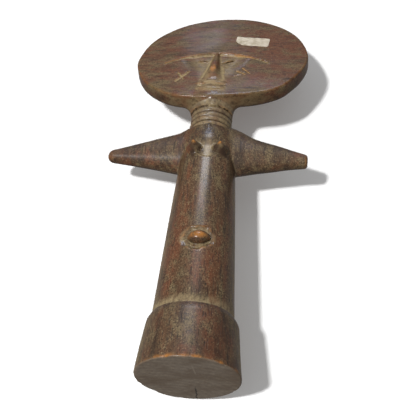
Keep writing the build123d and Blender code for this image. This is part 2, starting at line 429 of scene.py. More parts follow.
# dust under the breasts, round the navel and on the foot's ledge, and dust with a painted sheen down the
# sides
chest_edge = chest_step(x) + 1.2 * waver(x, y, z, 8, 33)
chest_dust = ramp(z, chest_edge - 1, chest_edge + 0.5) * ramp(z, 168, 155)
chest_dust = chest_dust * ramp(np.abs(around), 16, 9) * front
navel_ring = ramp(np.abs(in_ovals(around, z, HOLLOW_AT, (9.6, 7.8)) - 0.90), 0.30, 0.08) * front
ledge = ramp(z, 43.5 + 1.5 * broken, 38.5) * (0.7 + 0.3 * broken)
sides = 0.55 * side_dust_and_sheen(x, y) * broken * slim * ramp(z, 150, 130)
dust_and_sheen = marks["dust_and_sheen"] + 0.50 * chest_dust + 0.40 * navel_ring * broken + 0.55 * ledge + sides
marks["dust_and_sheen"] = held(dust_and_sheen) * (1 - 0.85 * cone) * (1 - 0.8 * button)

# bare wood on the tips of the breasts and the top of the navel, with their highlights painted in
plain = 1 - 0.85 * ramp(z, 144, 147) * ramp(z, 166, 162) * ramp(np.abs(x), 17, 14)
wear_and_highlight = marks["wear_and_highlight"] * plain * ramp(z, 40, 43) * ramp(z, 179, 176)
marks["wear_and_highlight"] = held(wear_and_highlight + tip + 0.70 * button_top)

# painted shade round and under the breasts, on the navel's sides and under the arms, over the grime of the
# creases; then grime in patches on the torso and arms
armpits = slim * front * ramp(np.abs(turn), 58, 66) * ramp(np.abs(turn), 80, 70) * ramp(z, 138, 146)
grime_and_shade = marks["grime_and_shade"] + front * patches(x, z, BREAST_SHADOWS) + 0.55 * cone * (1 - tip)
grime_and_shade = grime_and_shade + 0.5 * button * (1 - button_top) + armpits * 0.6
grime_and_shade = held(grime_and_shade) + 0.35 * patches(turn, z, TORSO_GRIME) * slim
marks["grime_and_shade"] = held(grime_and_shade + 0.45 * patches(x, z, ARM_GRIME))
marks["tone"] = np.where(slim, patches(turn, z, TORSO_TONE), patches(x, z, ARM_TONE))
torso_pieces = part_skin(points, faces, normals, marks, torso_members, TORSO_NODES)

# %% [markdown]
# ## The head
# The head is a flat disc that leans back and is turned a little, so it is carved in its own
# directions: across the face, up the face and out of the face. Below the brow the wood is lowered
# around the eyes, which leaves the nose standing as a wedge. Behind the chin the disc runs down into
# the neck with a soft fillet.

# %% Head sizes and directions
LEAN, TURN = math.radians(14), math.radians(5)
FACE = np.array([4.5, -7.0, 253.4])
ACROSS = np.array([math.cos(TURN), -math.sin(TURN), 0])
OUT = np.array([-math.sin(TURN) * math.cos(LEAN), -math.cos(TURN) * math.cos(LEAN), math.sin(LEAN)])
UP = np.cross(OUT, ACROSS)
HEAD_WIDE, HEAD_TALL, HEAD_THICK = 63.5, 58.5, 15.0
NOSE_LINE, NOSE_TOP, BROW_BEND = -4.7, 4.5, 0.0088
NECK_GROOVE, NECK_BARE, NECK_TAPER_FROM = 197.9, 13.4, 203


def to_block(a, b, c):
    """From face directions to the doll's own directions."""
    return [FACE[i] + a * ACROSS[i] + b * UP[i] + c * OUT[i] for i in range(3)]


def dome(a, b):
    """How far the gently domed face falls back from its middle."""
    return 1.6 * ((a / HEAD_WIDE) ** 2 + (b / HEAD_TALL) ** 2)


def brow_line(n):
    """Height of the brow at distance n from the line of the nose."""
    return 3.6 - BROW_BEND * n * n


def socket_reach(b):
    """How far the lowered wood round the eyes and mouth reaches to each side."""
    return 9 + 15 * held((b + 34) / 36)


def disc(a, b, c):
    # not quite an oval: fuller at the top and low at -a, slimmer low at +a
    a_rim = a - 1.3 * ramp(b, 8, 55) + 1.5 * ramp(b, 10, -8) * ramp(b, -46, -30) * ramp(a, 0, -50)
    a_rim = a_rim + 3.0 * ramp(b, 4, -30) * ramp(a, 5, 45)
    b_rim = b * (1 - 0.031 * ramp(b, 0, 40))
    rim = oval(a_rim, b_rim, 0, HEAD_WIDE, HEAD_TALL, 1.0)
    # the chin is cut almost straight across
    rim = soft_max(rim, -51 + 0.09 * (a + 4) - b, 12)
    n = a - NOSE_LINE
    lowered = ramp(np.abs(n) - socket_reach(b), 6, -9)
    socket = ramp(brow_line(n) - b, -0.2, 1.0) * ramp(b, -36, -8) * lowered
    front = c + dome(a, b) + 1.4 * socket - 0.15 * waver(a, b, 0, 30, 5)
    back = -c - HEAD_THICK - 0.8 + dome(a, b) - 0.25 * waver(a, b, 0, 26, 6)
    return soft_max(soft_max(rim, front, 1.5), back, 5)


# knife lines on the face: start, end, width and depth
EYE_LINE = ((0.6, -8.4), (7.6, -5.2))
STROKES = [
    ((-32.6, -32.4), (-23.7, -20.4), 1.2, 0.8),
    ((-31.7, -21.7), (-27.0, -29.8), 1.1, 0.7),
    ((15.6, -16.6), (21.0, -23.4), 0.9, 0.6),
    ((11.4, -20.3), (17.6, -24.6), 1.0, 0.6),
    ((10.0, -27.0), (14.6, -25.2), 0.8, 0.3),
    ((-17.8, -4.6), (-8.6, -6.2), 0.8, 0.7),
    (*EYE_LINE, 1.1, 0.9),
    ((-15.4, -38.2), (3.4, -38.6), 0.9, 0.9),
    ((-9.0, -8.0), (-13.6, -30.0), 1.3, 0.25),
    ((0.6, -8.0), (2.2, -30.0), 1.3, 0.25),
]


def engraving(a, b):
    """How deep the knife lines go: brow line, scars, eye slits and the line of the mouth."""
    n = a - NOSE_LINE
    line = ramp(np.abs(b - brow_line(n)), 0.8, 0.15)
    line = line * ramp(np.abs(n), 41, 36) * ramp(np.abs(n), 2.0, 3.0)
    depth = 0.55 * line
    for start, end, width, deep in STROKES:
        depth = np.maximum(depth, deep * ramp(stroke(a, b, start, end), width, 0.15))
    return depth


def nose_sides(a, b):
    """Distance from the nose's ridge, and the nose's half width at that height."""
    t = np.clip((NOSE_TOP - b) / 34.5, 0, 1.2)
    return np.abs(a - NOSE_LINE + 1.3 * t), 1.6 + 6.2 * t


def nose(a, b, c):
    """A wedge with a ridge. It stands highest low down and is cut back underneath."""
    n, wide = nose_sides(a, b)
    high = np.minimum(0.4 + 3.3 * (NOSE_TOP - b) / 25.5, 0.4 + 3.6 * (b + 31) / 10.0)
    c = c + dome(a, b)
    roof = (c + 1.4 - (high + 1.4) * 1.5 * (1 - n / wide)) * 0.62
    return soft_max(soft_max(roof, (c - high) * 0.9, 0.8), np.maximum(b - NOSE_TOP, -1.5 - c), 0.4)


def brow(a, b, c):
    n = a - NOSE_LINE
    height = b - (4.9 - BROW_BEND * n * n)
    d = oval(height * 0.93, c + dome(a, b), 0, 1.0, 0.30, 1.0)
    return np.maximum(d, np.abs(n) - 38.5)


def eye(a, b, c, side):
    n = a - NOSE_LINE - side * 8.6
    return oval(n, b + 6.2 - 0.28 * side * n, c + 1.75, 5.0, 2.0, 0.8)


def lips(a, b, c):
    n = a - NOSE_LINE + 1.2
    sunk = c + 1.1
    bow = 1.6 * np.exp(-((n / 5.0) ** 2))
    upper = oval(n, b + 36.0 - bow, sunk, 11.0, 2.2, 2.2)
    lower = oval(n, b + 41.9, sunk, 9.8, 3.1, 1.9)
    return np.minimum(upper, lower)


def neck(a, b, c):
    x, y, z = to_block(a, b, c)
    above = np.maximum(z - NECK_TAPER_FROM, 0)
    core = np.where(z < NECK_GROOVE, NECK_BARE, 14.7 - 0.16 * above - 0.004 * above**2)
    r = np.sqrt(x * x + y * y)
    return np.maximum(r - core - 0.15 * waver(x, y, z, 18, 9), COLLAR - 0.8 - z)


HEAD_NODES = ["head", "neck", "brow_and_nose", "eye_left", "eye_right", "lips"]


def head_members(a, b, c):
    return [disc(a, b, c), neck(a, b, c), np.minimum(nose(a, b, c), brow(a, b, c)),
            eye(a, b, c, 1), eye(a, b, c, -1), lips(a, b, c)]


def head_block(a, b, c):
    plate, stem, ridge, eye_l, eye_r, mouth = head_members(a, b, c)
    d = soft_min(plate, stem, 7.5)
    # a small ridge ties the chin to the throat
    x, y, z = to_block(a, b, c)
    tie = np.sqrt((x - 0.8) ** 2 / 1.4 + (y + 13.6) ** 2) - 3.2 + 0.35 * np.maximum(199.5 - z, 0)
    tie = np.maximum(tie, np.abs(z - 202) - 5)
    d = soft_min(d, tie, 2.0)
    d = soft_min(d, ridge, 1.0)
    d = soft_min(soft_min(d, eye_l, 0.5), eye_r, 0.5)
    d = soft_min(d, mouth, 0.8)
    return d + ramp(c, -6, -3) * engraving(a, b) * 0.9


# %% Pull the head skin, mark it and part it
HEAD_TONE = [
    (40, 18, 22, 22, 1.0), (30, -24, 18, 9, 0.6), (-26, -26, 12, 9, 0.7), (-38, 6, 20, 9, 0.5),
    (-34, 32, 20, 9, 0.3), (-8, 32, 16, 16, -0.3), (-44, -36, 16, 6, -0.8), (34, -42, 20, 5, -0.5),
    (12, -12, 8, 10, -0.6), (-20, -12, 8, 10, -0.6),
]
step = 0.62
points, faces, normals = pull_skin(head_block, (-66, -79, -42), (66, 61, 8), step)
marks = carving_marks(head_block, points)
a, b, c = points.T
n = a - NOSE_LINE
front = ramp(c, -5, -2.5)
cut = ramp(engraving(a, b), 0.10, 0.45) * front
far_scar = ramp(np.abs(n - 21), 9, 6)
scar = ramp(np.abs(n + 23), 9, 6) + 0.45 * far_scar

# dust in the knife lines, round the eyes, the nose and the lips, and on the throat
socket_dust = ramp(np.abs(n) - socket_reach(b), 1, -6) * ramp(b, -37, -30) * ramp(b, 1.5, -4)
socket_dust = socket_dust * ramp(np.abs(n), 1.5, 5.0) * front
lip_dust = ramp(np.abs(n + 1.0), 12, 9) * ramp(b, -47, -44.5) * ramp(b, -30, -34) * front
throat = ramp(c, -2, -7) * ramp(b, -44, -52) * 0.30
throat = throat + ramp(c, -1, -4) * ramp(b, -50, -54) * ramp(np.abs(a), 14, 7) * 0.30
under_nose = ramp(b, -21.5, -24) * ramp(c, -0.4, 0.6) * ramp(np.abs(n + 1.2), 6.5, 5.0)
off_ridge, nose_wide = nose_sides(a, b)
nose_edge = np.exp(-((off_ridge - nose_wide - 0.2) / 1.0) ** 2)
nose_edge = nose_edge * ramp(b, -34, -31) * ramp(b, 3.0, -1.0) * front
dust_and_sheen = 0.75 * marks["dust_and_sheen"] + (0.22 + 0.62 * scar) * cut
dust_and_sheen = held(dust_and_sheen + 0.36 * socket_dust + 0.42 * lip_dust + throat)
marks["dust_and_sheen"] = held(dust_and_sheen + 0.12 * under_nose + 0.50 * nose_edge)

# grime in one eye slit and in the mouth, and painted shade down the rim and over the back; bare wood on the
# face's edges, the nose and one scar, with the highlight of the chin's edge painted in
eye_slit = ramp(stroke(a, b, *EYE_LINE), 1.3, 0.3)
mouth_slit = ramp(stroke(a, b, (-12.0, -38.3), (5.4, -38.7)), 1.0, 0.3)
grime_and_shade = marks["grime_and_shade"] * ramp(b, -36, -44) + 0.8 * np.maximum(eye_slit, mouth_slit) * front
marks["grime_and_shade"] = held(grime_and_shade + 0.40 * ramp(c, -3.5, -8))
nose_tip = ramp(in_ovals(n, b, (-0.9, -20.5), (2.4, 5.0)), 1.2, 0.4) * ramp(c, 0.2, 1.4)
wear_and_highlight = marks["wear_and_highlight"] * 0.35 * ramp(b, -58, -52) + 0.9 * nose_tip
marks["wear_and_highlight"] = held(wear_and_highlight + 0.45 * cut * far_scar)
marks["tone"] = patches(a, b, HEAD_TONE) * front + ramp(c, -4, -8) * 0.1
points = np.stack(to_block(a, b, c), 1)
normals = normals[:, :1] * ACROSS + normals[:, 1:2] * UP + normals[:, 2:] * OUT


def head_members_block(x, y, z):
    p = np.stack([x, y, z], 1) - FACE
    return head_members(p @ ACROSS, p @ UP, p @ OUT)


head_pieces = part_skin(points, faces, normals, marks, head_members_block, HEAD_NODES)

# %% [markdown]
# ## The foot
# The foot is a drum that flares towards the floor. Its upper edge is rounded over with a file, its
# lower edge is knocked and chipped from years of being stood down, and its underside is sawn flat.

# %% Foot field and piece
# the foot narrows from its full radius to its waist over the height of its flare
FOOT_R, FOOT_WAIST, FOOT_FLARE = 31.9, 28.5, 29
# places round the foot are degrees from the front and height
FOOT_KNOCKS = [
    (-26, 0, 13, 9, 1.0), (4, 0, 12, 9, 1.0), (34, 0, 10, 9, 0.8), (62, 0, 10, 9, 0.7),
    (-70, 0, 12, 9, 0.5), (150, 0, 40, 9, 0.5), (-140, 0, 30, 9, 0.5),
]
FOOT_TONE = [
    (-38, 22, 7, 14, 1.0), (40, 18, 15, 14, 0.9), (10, 5, 40, 4, 0.9), (-5, 22, 16, 8, -0.6),
    (-72, 16, 16, 20, -0.5), (75, 16, 16, 20, -0.6), (0, 37, 60, 2, 0.7),
]
FOOT_GRIME = [
    (-38, 7, 5, 6, 1.0), (12, 6, 26, 3, 0.6), (36, 22, 12, 12, 0.9), (-38, 24, 5, 10, 0.5),
    (58, 4, 10, 4, 0.9), (0, 36.6, 70, 1.2, 0.5), (18, 14, 10, 4, 0.5),
]


def foot_block(x, y, z):
    r = np.sqrt(x * x + y * y)
    side = r - (FOOT_R + (FOOT_WAIST - FOOT_R) * z / FOOT_FLARE) - 0.3 * waver(x, y, z * 0.6, 30, 21)
    chips = held(waver(x, y, z, 7, 22) - 0.35) * ramp(z, 3.2, 0)
    side = soft_max(side + 0.9 * chips, z - FOOT_TOP, 6)
    # a small fillet runs up against the torso
    side = np.maximum(soft_min(side, torso_side(x, y, z), 2.0), z - FOOT_TOP - 0.6)
    return soft_max(side, -z, 1.2)


step = 0.7
points, faces, normals = pull_skin(foot_block, (-33, -33, -1.5), (33, 33, 39), step)
marks = carving_marks(foot_block, points)
x, y, z = points.T
r, turn = np.sqrt(x * x + y * y), np.degrees(np.arctan2(x, -y))
ledge = ramp(z, 36.6, 37.6) * ramp(r, 27.6, 26.2) * 0.8
# dust on the ledge, and dust with a painted sheen down the sides
marks["dust_and_sheen"] = held(marks["dust_and_sheen"] + ledge + 0.50 * side_dust_and_sheen(x, y) * patchy(x, y, z))
edge_noise = 0.5 + 0.5 * waver(x, y, z, 11, 23)
lip = ramp(z, 2.0 + 1.2 * edge_noise, 0.6) * ramp(r, 29.8, 30.6) * ramp(z, 0.1, 0.5)
lip = lip * held(2 * patches(turn, 0, FOOT_KNOCKS) - 0.8)
marks["wear_and_highlight"] = held(marks["wear_and_highlight"] * 0.25 * ramp(r, 26, 29) + lip * edge_noise * 1.5)
marks["tone"] = patches(turn, z, FOOT_TONE)
marks["grime_and_shade"] = held(marks["grime_and_shade"] + 0.6 * patches(turn, z, FOOT_GRIME) * ramp(z, 0, 1))
foot_piece = make_piece("carved_foot", points, faces, normals, marks, ["foot"])

# %% [markdown]
# ## Node trees as Python
# One tree stacks the rings of the neck and the others colour the wood and the paper. A few helpers make
# a node in one call, and a small class lets the shader sums be written as ordinary Python.

# %% Node helpers
class Wire:
    """A socket in a tree that can be used in sums."""

    def __init__(self, tree, socket):
        self.tree, self.socket = tree, socket

    def sum(self, operation, *values):
        made = self.tree.nodes.new("ShaderNodeMath")
        made.operation = operation
        for socket, value in zip(made.inputs, values):
            plug(self.tree, socket, value)
        return Wire(self.tree, made.outputs[0])

    def __add__(self, other):
        return self.sum("ADD", self, other)

    def __sub__(self, other):
        return self.sum("SUBTRACT", self, other)

    def __rsub__(self, other):
        return self.sum("SUBTRACT", other, self)

    def __mul__(self, other):
        return self.sum("MULTIPLY", self, other)

    def __truediv__(self, other):
        return self.sum("DIVIDE", self, other)

    def __pow__(self, other):
        return self.sum("POWER", self, other)

    __radd__, __rmul__ = __add__, __mul__

    def clip(self):
        return self.sum("MINIMUM", self.sum("MAXIMUM", self, 0.0), 1.0)

    def ramp(self, low, high):
        """0 at low, 1 at high, smooth between, held outside."""
        made = node(self.tree, "ShaderNodeMapRange", {"interpolation_type": "SMOOTHSTEP"},
                    Value=self, From_Min=low, From_Max=high)
        return Wire(self.tree, made.outputs[0])


def plug(tree, socket, value):
    """Link a socket to another one, or set it to a plain value."""
    if isinstance(value, Wire):
        value = value.socket
    if isinstance(value, bpy.types.NodeSocket):
        tree.links.new(value, socket)
    else:
        socket.default_value = value


def node(tree, kind, settings=None, **sockets):
    """One node: settings first, then values or links of its sockets, by name or as n and number."""
    made = tree.nodes.new(kind)
    for key, value in (settings or {}).items():
        setattr(made, key, value)
    for key, value in sockets.items():
        numbered = key[0] == "n" and key[1:].isdigit()
        plug(tree, made.inputs[int(key[1:]) if numbered else key.replace("_", " ")], value)
    return made


def blend(tree, share, first, second):
    """Colour between two colours."""
    made = node(tree, "ShaderNodeMix", {"data_type": "RGBA", "blend_type": "MIX"},
                n0=share, n6=first, n7=second)
    return made.outputs[2]


def colour(r, g, b):
    return (r, g, b, 1.0)


def noise(tree, where, stretch, scale, detail, rough):
    """Noise whose patches are stretched by the three factors of stretch."""
    scaled = node(tree, "ShaderNodeMapping", Vector=where, Scale=stretch)
    made = node(tree, "ShaderNodeTexNoise", Vector=scaled.outputs[0], Scale=scale,
                Detail=detail, Roughness=rough)
    return Wire(tree, made.outputs[0])


def stored(tree, mark):
    """One of the marks stored on the points."""
    return Wire(tree, node(tree, "ShaderNodeAttribute", {"attribute_name": mark}).outputs["Fac"])


# %% [markdown]
# ## The rings of the neck
# The rings are the same bead repeated up the neck, so a Geometry Nodes tree makes them: a line of
# points up the neck, one bead set on each, every bead a little tilted and sized differently, as
# hand-cut rings are. The beads are turned into plain mesh at the end, because a repeated copy alone
# does not leave Blender with the model.

# %% Tree that stacks the rings
RING_SOCKETS = {
    "Count": ("Int", 4),
    "First height": ("Float", 0.1818),
    "Pitch": ("Float", 0.0046),
    "Radius": ("Float", 0.0124),
    "Bead": ("Float", 0.0026),
    "Tilt": ("Float", 0.03),
    "Seed": ("Int", 7),
    "Material": ("Material", None),
}
rings = bpy.data.node_groups.new("neck_rings", "GeometryNodeTree")
ring_inputs = {}
for name, (kind, value) in RING_SOCKETS.items():
    socket = rings.interface.new_socket(name, in_out="INPUT", socket_type="NodeSocket" + kind)
    ring_inputs[name] = socket.identifier
    if value is not None:
        socket.default_value = value
rings.interface.new_socket("Geometry", in_out="OUTPUT", socket_type="NodeSocketGeometry")
RING_IN = rings.nodes.new("NodeGroupInput")


def given(name):
    """One of the ring tree's own inputs."""
    return RING_IN.outputs[name]


start = node(rings, "ShaderNodeCombineXYZ", Z=given("First height"))
spacing = node(rings, "ShaderNodeCombineXYZ", Z=given("Pitch"))
line = node(rings, "GeometryNodeMeshLine", {"mode": "OFFSET"}, Count=given("Count"),
            Start_Location=start.outputs[0], Offset=spacing.outputs[0])
path = node(rings, "GeometryNodeCurvePrimitiveCircle", {"mode": "RADIUS"},
            Resolution=120, Radius=given("Radius"))
bead = node(rings, "GeometryNodeCurvePrimitiveCircle", {"mode": "RADIUS"},
            Resolution=28, Radius=given("Bead"))
ring = node(rings, "GeometryNodeCurveToMesh", Curve=path.outputs[0], Profile_Curve=bead.outputs[0])
lean_by = node(rings, "FunctionNodeRandomValue", {"data_type": "FLOAT_VECTOR"}, Seed=given("Seed"))
other_way = node(rings, "ShaderNodeMath", {"operation": "MULTIPLY"}, n0=given("Tilt"), n1=-1.0)
lean_low = node(rings, "ShaderNodeCombineXYZ", X=other_way.outputs[0], Y=other_way.outputs[0], Z=0.0)
lean_high = node(rings, "ShaderNodeCombineXYZ", X=given("Tilt"), Y=given("Tilt"), Z=6.0)
rings.links.new(lean_low.outputs[0], lean_by.inputs[0])
rings.links.new(lean_high.outputs[0], lean_by.inputs[1])
size_by = node(rings, "FunctionNodeRandomValue", {"data_type": "FLOAT"}, Seed=given("Seed"),
               n2=0.985, n3=1.012)
placed = node(rings, "GeometryNodeInstanceOnPoints", Points=line.outputs[0], Instance=ring.outputs[0],
              Rotation=lean_by.outputs[0], Scale=size_by.outputs[1])
real = node(rings, "GeometryNodeRealizeInstances", Geometry=placed.outputs[0])
wobble = node(rings, "ShaderNodeTexNoise", {"noise_dimensions": "3D"}, Scale=90.0, Detail=2.0)
centred = node(rings, "ShaderNodeVectorMath", {"operation": "SUBTRACT"}, n0=wobble.outputs["Color"],
               n1=(0.5, 0.5, 0.5))
little = node(rings, "ShaderNodeVectorMath", {"operation": "SCALE"}, n0=centred.outputs[0], Scale=0.0012)
uneven = node(rings, "GeometryNodeSetPosition", Geometry=real.outputs[0], Offset=little.outputs[0])
smooth = node(rings, "GeometryNodeSetShadeSmooth", Geometry=uneven.outputs[0])
coloured = node(rings, "GeometryNodeSetMaterial", Geometry=smooth.outputs[0], Material=given("Material"))
ring_out = rings.nodes.new("NodeGroupOutput")
rings.links.new(coloured.outputs[0], ring_out.inputs[0])
print("ring tree has", len(rings.nodes), "nodes")

# %% [markdown]
# ## Wood and its patina
# The wood is dark from handling, oil and smoke. Its colour is built from slow patches, a fine mottle,
# and the pores of the grain. The grain runs up the block, except on the face, where the strokes of the
# knife run across. Over that lie the marks stored on the points: pale dust packed in the creases, dark
# grime in the deepest cuts and warm bare wood on edges and tips, and with them a painted sheen down the
# sides, painted light on the ring crests, painted shade in shaded hollows and under parts, and painted
# highlights on some tips and edges.

# %% Wood material
# this dark also paints shade: round the breasts, under the arms, on the navel's sides, down the head's rim
# and in the ring grooves
WOOD_DARK = colour(0.032, 0.016, 0.008)
WOOD_BROWN = colour(0.092, 0.047, 0.022)
WOOD_RUST = colour(0.135, 0.049, 0.021)
WOOD_OLIVE = colour(0.158, 0.114, 0.057)
# this bare wood also paints the highlights on the breast tips, the navel's top and the chin's edge
WOOD_BARE_AND_LIT = colour(0.42, 0.17, 0.035)
PORE = colour(0.012, 0.007, 0.004)
# this pale dust also paints the sheen down the sides and the light on the crests of the neck rings
DUST_AND_SHEEN = colour(0.33, 0.255, 0.140)
ALONG_Z, ALONG_X = (1.0, 1.0, 0.16), (0.14, 0.6, 1.0)


def carved_wood(name, grain=ALONG_Z, rust=0.0, olive=0.0, dark=0.0, rough=0.42, gloss=0.30,
                wax=0.3, film=0.30, speckle=1.0):
    """Dark wood with rust, olive and near-black patches drawn out along the grain."""
    material = bpy.data.materials.new(name)
    material.use_nodes = True
    tree = material.node_tree
    shader = tree.nodes["Principled BSDF"]
    where = node(tree, "ShaderNodeTexCoord").outputs["Object"]
    dust_and_sheen, wear_and_highlight, grime_and_shade, tone = (stored(tree, mark) for mark in ("dust_and_sheen", "wear_and_highlight", "grime_and_shade", "tone"))
    soft = tuple(0.5 + 0.5 * g for g in grain)
    rusty = noise(tree, where, grain, 95.0, 3.0, 0.60) + tone * 0.14
    olives = noise(tree, where, soft, 150.0, 4.0, 0.65) - tone * 0.10
    sooty = noise(tree, where, grain, 150.0, 4.0, 0.65) + grime_and_shade * 0.12
    mottle = noise(tree, where, soft, 520.0, 3.0, 0.75)
    speck = noise(tree, where, (1.0, 1.0, 0.8), 1150.0, 2.0, 0.7)
    drawn_out = tuple(g if g > 0.5 else 0.07 for g in grain)
    pores = noise(tree, where, drawn_out, 820.0, 2.0, 0.5).ramp(0.60, 0.68)
    base = blend(tree, rusty.ramp(0.48 - rust, 0.68 - rust), WOOD_BROWN, WOOD_RUST)
    base = blend(tree, olives.ramp(0.46 - olive, 0.70 - olive) * 0.80, base, WOOD_OLIVE)
    base = blend(tree, sooty.ramp(0.50 - dark, 0.70 - dark) * 0.75, base, WOOD_DARK)
    base = blend(tree, mottle.ramp(0.50, 0.32) * 0.60, base, WOOD_DARK)
    base = blend(tree, mottle.ramp(0.54, 0.72) * 0.45, base, WOOD_OLIVE)
    dots = speck.ramp(0.50, 0.36) * (olives.ramp(0.36, 0.56) * 0.6 + 0.35)
    base = blend(tree, dots * (0.75 * speckle), base, PORE)
    base = blend(tree, speck.ramp(0.58, 0.72) * (0.50 * speckle), base, DUST_AND_SHEEN)
    base = blend(tree, pores * 0.60, base, PORE)
    # dust in creases with the painted sheen and light, dark grime with the painted shade, then bare wood on
    # edges with the painted highlights
    dust_and_sheen_share = (dust_and_sheen * (mottle.ramp(0.30, 0.60) * 0.9 + 0.3)).clip()
    base = blend(tree, dust_and_sheen_share, base, DUST_AND_SHEEN)
    base = blend(tree, (grime_and_shade * (speck.ramp(0.30, 0.60) * 0.5 + 0.5)).clip(), base, WOOD_DARK)
    worn_and_lit_share = (wear_and_highlight * (rusty.ramp(0.30, 0.60) * 0.5 + mottle.ramp(0.30, 0.60) * 0.6)).clip()
    base = blend(tree, worn_and_lit_share, base, WOOD_BARE_AND_LIT)
    tree.links.new(base, shader.inputs["Base Color"])
    matt = rough + olives.ramp(0.42, 0.70) * 0.14 + mottle.ramp(0.40, 0.65) * 0.08
    plug(tree, shader.inputs["Roughness"], matt + dust_and_sheen_share * 0.30 - worn_and_lit_share * 0.16)
    shader.inputs["Specular IOR Level"].default_value = gloss
    # a thin film of wax and hand grease, thinner where dust and painted sheen lie
    waxed = 1.0 - dust_and_sheen_share * 0.8 - worn_and_lit_share * 0.8 - olives.ramp(0.42, 0.70) * 0.35
    plug(tree, shader.inputs["Coat Weight"], (waxed * wax).clip())
    shader.inputs["Coat Roughness"].default_value = film
    height = mottle * 0.55 + speck * 0.35 + rusty * 0.5 - pores * 0.6
    bump = node(tree, "ShaderNodeBump", Strength=0.55, Distance=0.00034, Height=height)
    tree.links.new(bump.outputs[0], shader.inputs["Normal"])
    return material


wood_of = {
    "torso": carved_wood("torso_wood", rust=0.02, olive=0.03, rough=0.40, gloss=0.15,
                         wax=0.40, film=0.24, speckle=1.1),
    "arm": carved_wood("arm_wood", olive=0.04, dark=0.04, rough=0.52, wax=0.06),
    "head": carved_wood("head_wood", ALONG_X, rust=0.13, olive=0.07, dark=-0.05, rough=0.48, gloss=0.06,
                        wax=0.36, film=0.20, speckle=0.7),
    "neck": carved_wood("neck_wood", olive=0.10, rough=0.42, wax=0.45, speckle=0.6),
    "foot": carved_wood("foot_wood", olive=0.04, dark=0.02, rough=0.44, gloss=0.25,
                        wax=0.20, speckle=1.1),
}
own_wood = {"arm_left": "arm", "arm_right": "arm", "neck": "neck"}
for usual, pieces in (("torso", torso_pieces), ("head", head_pieces)):
    for name, piece in pieces.items():
        piece.data.materials.append(wood_of[own_wood.get(name, usual)])

# %% [markdown]
# ## End grain under the foot
# Sawn across, the wood shows its growth rings as arcs round the heart of the tree, which lay outside
# this block, and a drying crack runs out to the edge. The foot's material mixes from side wood to
# end grain by height, because only the underside lies at the floor.

# %% End grain mixed into the foot's wood
def end_grain(material):
    tree = material.node_tree
    shader = tree.nodes["Principled BSDF"]
    where = node(tree, "ShaderNodeTexCoord").outputs["Object"]
    parts = node(tree, "ShaderNodeSeparateXYZ", Vector=where)
    x, y, z = (Wire(tree, parts.outputs[i]) for i in range(3))
    under = z.ramp(0.0009, 0.0004)
    bend = noise(tree, where, (1.0, 1.0, 0.0), 60.0, 4.0, 0.6) * 0.009
    dx, dy = x + 0.010, y - 0.030
    heart = (dx * dx + dy * dy * 1.6) ** 0.5 + bend
    years = node(tree, "ShaderNodeTexWave", {"wave_type": "BANDS", "bands_direction": "X"},
                 Vector=node(tree, "ShaderNodeCombineXYZ", X=heart).outputs[0], Scale=62.0, Distortion=0.0)
    years = Wire(tree, years.outputs["Fac"]).ramp(0.0, 1.0)
    cloud = noise(tree, where, (1.0, 1.6, 1.0), 48.0, 4.0, 0.6)
    fleck = noise(tree, where, (1.0, 1.0, 1.0), 380.0, 4.0, 0.7)
    old = shader.inputs["Base Color"].links[0].from_socket
    sawn = blend(tree, fleck.ramp(0.35, 0.68), colour(0.163, 0.127, 0.092), colour(0.220, 0.174, 0.127))
    sawn = blend(tree, cloud.ramp(0.40, 0.62) * 0.80, sawn, colour(0.125, 0.086, 0.055))
    sawn = blend(tree, years * 0.28, sawn, colour(0.100, 0.074, 0.052))
    # a drying crack runs out to the back edge, and a pale scratch lies in the front half
    crooked = x - 0.0035 - y * 0.05 + (noise(tree, where, (1.0, 1.0, 0.0), 160.0, 2.0, 0.5) - 0.5) * 0.004
    crack = crooked.sum("ABSOLUTE", crooked).ramp(0.0006, 0.00015) * y.ramp(0.009, 0.018)
    sawn = blend(tree, crack, sawn, colour(0.010, 0.007, 0.005))
    aside = x - 0.0060 - y * 0.16
    pale = aside.sum("ABSOLUTE", aside).ramp(0.0007, 0.0002)
    pale = pale * y.ramp(-0.006, -0.010) * y.ramp(-0.022, -0.018)
    sawn = blend(tree, pale * 0.35, sawn, colour(0.30, 0.25, 0.19))
    share = (under * (1.0 - stored(tree, "wear_and_highlight") * 1.4).clip()).clip()
    tree.links.new(blend(tree, share, old, sawn), shader.inputs["Base Color"])
    old_rough = Wire(tree, shader.inputs["Roughness"].links[0].from_socket)
    plug(tree, shader.inputs["Roughness"], (old_rough + share * 0.22).clip())


end_grain(wood_of["foot"])
foot_piece.data.materials.append(wood_of["foot"])

# %% Make the rings plain mesh
holder = set_in_scene("neck_rings_tree", bpy.data.meshes.new("neck_rings_start"))
modifier = holder.modifiers.new("rings", "NODES")
modifier.node_group = rings
modifier[ring_inputs["Material"]] = wood_of["neck"]
solved = holder.evaluated_get(bpy.context.evaluated_depsgraph_get())
ring_mesh = bpy.data.meshes.new_from_object(solved)
holder.modifiers.remove(modifier)
bpy.data.objects.remove(holder)
at = np.empty(len(ring_mesh.vertices) * 3, np.float32)
ring_mesh.vertices.foreach_get("co", at)
reach = np.hypot(at[0::3], at[1::3]) / MM
# painted light on the crests of the rings, kept with the dust, painted shade in the grooves, kept with the
# grime, and a little bare wood on the crests
ring_marks = {
    "dust_and_sheen": ramp(reach, 13.9, 14.8) * 0.30,
    "wear_and_highlight": ramp(reach, 14.6, 15.3) * 0.15,
    "grime_and_shade": ramp(reach, 14.2, 13.7) * 0.6,
    "tone": np.zeros(len(reach)),
}
for mark, values in ring_marks.items():
    ring_mesh.attributes.new(mark, "FLOAT", "POINT").data.foreach_set("value", values.astype(np.float32))
ring_piece = set_in_scene("neck_rings", ring_mesh)
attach(ring_piece, "root")
print("rings reach", reach.min(), "to", reach.max(), "mm from the neck's axis")

